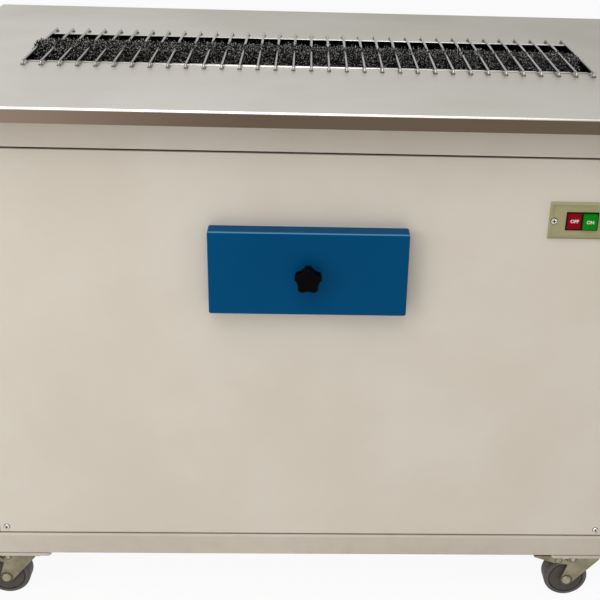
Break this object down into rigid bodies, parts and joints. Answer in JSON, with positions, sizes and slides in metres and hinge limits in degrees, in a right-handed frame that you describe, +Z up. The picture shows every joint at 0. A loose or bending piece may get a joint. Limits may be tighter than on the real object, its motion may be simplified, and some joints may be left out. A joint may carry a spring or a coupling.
{
  "type": "brush cleaning bench",
  "caption": "Wheeled steel cabinet with a stainless worktop; a belt-driven bristle roller turns in a slot under guard rods, above a dirt drawer and beside push-button switching.",
  "frame": {"origin": "on the floor under the middle of the worktop", "axes": "+X to the operator's right along the brush, +Y from front to back, +Z up"},
  "size_m": [1.18, 0.7, 0.888],
  "materials": {
    "frame_paint": "warm off-white powder coat",
    "galvanised": "plain zinc-coated sheet",
    "stainless": "fine brushed stainless",
    "bright_rod": "bright drawn rod",
    "bristle": "black nylon filament",
    "steel": "turned bright steel",
    "casting": "grey painted casting",
    "belt": "matt black",
    "motor_paint": "blue-grey machine enamel",
    "drawer_blue": "blue powder coat",
    "knob_black": "black phenolic",
    "switch_olive": "olive-beige moulding",
    "switch_black": "black moulding",
    "button_red": "dark red moulding",
    "button_green": "green moulding",
    "zinc": "yellowish zinc plate",
    "tyre_grey": "dark grey rubber",
    "hub_grey": "dark grey moulding"
  },
  "bodies": {
    "cabinet": {"apron_rails_long": "frame_paint", "apron_rails_side": "frame_paint", "base_rails_long": "frame_paint", "base_rails_side": "frame_paint", "bearing_housings": "casting", "bearing_inserts": "steel", "cable_gland": "switch_black", "caster_bolts": "steel", "caster_pads": "frame_paint", "caster_top_plates": "zinc", "chute_ends": "galvanised", "chute_floors": "galvanised", "chute_walls": "galvanised", "corner_posts": "frame_paint", "cross_tubes": "frame_paint", "drawer_runners": "galvanised", "drive_belt": "belt", "drive_bolts": "steel", "floor_panel": "galvanised", "front_panel": "frame_paint", "guard_rods": "bright_rod", "left_panel": "frame_paint", "motor_barrel": "motor_paint", "motor_end_covers": "motor_paint", "motor_terminal_box": "motor_paint", "panel_screws": "frame_paint", "panel_tabs": "frame_paint", "rear_panel": "frame_paint", "right_panel": "frame_paint", "switch_body": "switch_black", "switch_plate": "switch_olive", "switch_screws": "steel", "worktop": "stainless"},
    "brush": {"brush_shaft": "steel", "brush_core": "steel", "brush_bristles": "bristle", "brush_pulley_wheel": "casting"},
    "motor_rotor": {"motor_rotor_shaft": "steel", "motor_pulley_wheel": "casting"},
    "drawer": {"drawer_front": "drawer_blue", "drawer_tray": "galvanised", "star_knob": "knob_black", "knob_stud": "steel"},
    "on_push": {"on_button": "button_green"},
    "off_push": {"off_button": "button_red"},
    "front_left_swivel": {"front_left_fork": "zinc"},
    "front_left_wheel": {"front_left_tyre": "tyre_grey", "front_left_hub": "hub_grey"},
    "front_left_pedal": {"front_left_brake_pedal": "zinc"},
    "front_right_swivel": {"front_right_fork": "zinc"},
    "front_right_wheel": {"front_right_tyre": "tyre_grey", "front_right_hub": "hub_grey"},
    "front_right_pedal": {"front_right_brake_pedal": "zinc"},
    "rear_left_swivel": {"rear_left_fork": "zinc"},
    "rear_left_wheel": {"rear_left_tyre": "tyre_grey", "rear_left_hub": "hub_grey"},
    "rear_right_swivel": {"rear_right_fork": "zinc"},
    "rear_right_wheel": {"rear_right_tyre": "tyre_grey", "rear_right_hub": "hub_grey"}
  },
  "joints": [
    {"name": "brush_spin", "type": "hinge", "parent": "cabinet", "child": "brush", "pos_m": [0, 0, 0.8084], "axis": [1, 0, 0], "continuous": true},
    {"name": "motor_spin", "type": "hinge", "parent": "cabinet", "child": "motor_rotor", "pos_m": [0.311, 0, 0.2265], "axis": [1, 0, 0], "continuous": true},
    {"name": "drawer_slide", "type": "slide", "parent": "cabinet", "child": "drawer", "axis": [0, -1, 0], "range_m": [0, 0.36]},
    {"name": "on_button_press", "type": "slide", "parent": "cabinet", "child": "on_push", "axis": [0, 1, 0], "range_m": [0, 0.003]},
    {"name": "off_button_press", "type": "slide", "parent": "cabinet", "child": "off_push", "axis": [0, 1, 0], "range_m": [-0.003, 0]},
    {"name": "front_left_swivel_turn", "type": "hinge", "parent": "cabinet", "child": "front_left_swivel", "pos_m": [-0.48, -0.26, 0.09], "axis": [0, 0, 1], "continuous": true},
    {"name": "front_left_wheel_spin", "type": "hinge", "parent": "front_left_swivel", "child": "front_left_wheel", "pos_m": [-0.504, -0.26, 0.0375], "axis": [0, 1, 0], "continuous": true},
    {"name": "front_left_brake_press", "type": "hinge", "parent": "front_left_swivel", "child": "front_left_pedal", "pos_m": [-0.523, -0.26, 0.0815], "axis": [0, -1, 0], "range_deg": [0, 18]},
    {"name": "front_right_swivel_turn", "type": "hinge", "parent": "cabinet", "child": "front_right_swivel", "pos_m": [0.48, -0.26, 0.09], "axis": [0, 0, 1], "continuous": true},
    {"name": "front_right_wheel_spin", "type": "hinge", "parent": "front_right_swivel", "child": "front_right_wheel", "pos_m": [0.456, -0.26, 0.0375], "axis": [0, 1, 0], "continuous": true},
    {"name": "front_right_brake_press", "type": "hinge", "parent": "front_right_swivel", "child": "front_right_pedal", "pos_m": [0.437, -0.26, 0.0815], "axis": [0, -1, 0], "range_deg": [0, 18]},
    {"name": "rear_left_swivel_turn", "type": "hinge", "parent": "cabinet", "child": "rear_left_swivel", "pos_m": [-0.48, 0.26, 0.09], "axis": [0, 0, 1], "continuous": true},
    {"name": "rear_left_wheel_spin", "type": "hinge", "parent": "rear_left_swivel", "child": "rear_left_wheel", "pos_m": [-0.504, 0.26, 0.0375], "axis": [0, 1, 0], "continuous": true},
    {"name": "rear_right_swivel_turn", "type": "hinge", "parent": "cabinet", "child": "rear_right_swivel", "pos_m": [0.48, 0.26, 0.09], "axis": [0, 0, 1], "continuous": true},
    {"name": "rear_right_wheel_spin", "type": "hinge", "parent": "rear_right_swivel", "child": "rear_right_wheel", "pos_m": [0.456, 0.26, 0.0375], "axis": [0, 1, 0], "continuous": true}
  ],
  "couplings": [
    {"joint": "motor_spin", "follows": "brush_spin", "ratio": 1.625},
    {"joint": "off_button_press", "follows": "on_button_press", "ratio": -1}
  ]
}
